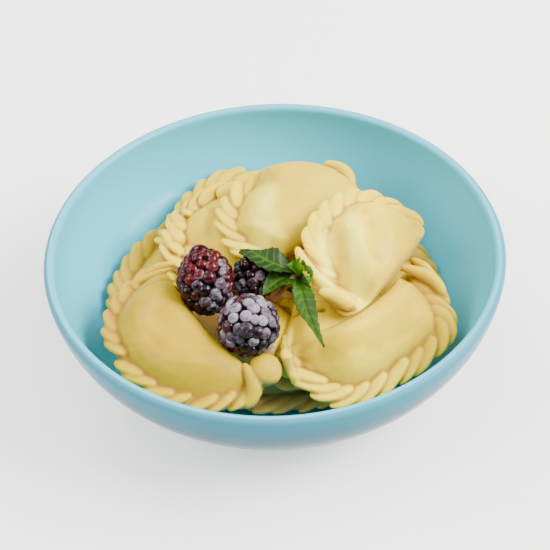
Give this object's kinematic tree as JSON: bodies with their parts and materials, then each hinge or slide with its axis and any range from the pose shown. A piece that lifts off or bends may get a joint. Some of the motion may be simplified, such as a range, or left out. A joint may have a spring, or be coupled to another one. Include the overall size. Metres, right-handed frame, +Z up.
{
  "type": "bowl of pierogi",
  "caption": "Shallow round glazed bowl holding a pile of half-moon dumplings with braided edges, topped with berries and a sprig of mint.",
  "frame": {"origin": "on the table, under the middle of the bowl's foot", "axes": "+Z up; -Y towards the front of the serving, where the mint's long leaf points; +X to its right"},
  "size_m": [0.18, 0.18, 0.0684],
  "materials": {
    "bowl_glaze": "gloss",
    "dough": "satin",
    "berry_skin": "satin",
    "mint_leaf": "satin"
  },
  "bodies": {
    "root": {"bowl": "bowl_glaze", "pierogi_low_back": "dough", "pierogi_low_front": "dough", "pierogi_low_right": "dough", "pierogi_left": "dough", "pierogi_back_left": "dough", "pierogi_under_mint": "dough", "pierogi_under_berries": "dough", "pierogi_centre": "dough", "pierogi_middle_left": "dough", "pierogi_front_left": "dough", "pierogi_front_right": "dough", "pierogi_back": "dough", "pierogi_right": "dough", "berry_back": "berry_skin", "berry_left": "berry_skin", "berry_front": "berry_skin", "mint_sprig": "mint_leaf"}
  },
  "joints": []
}
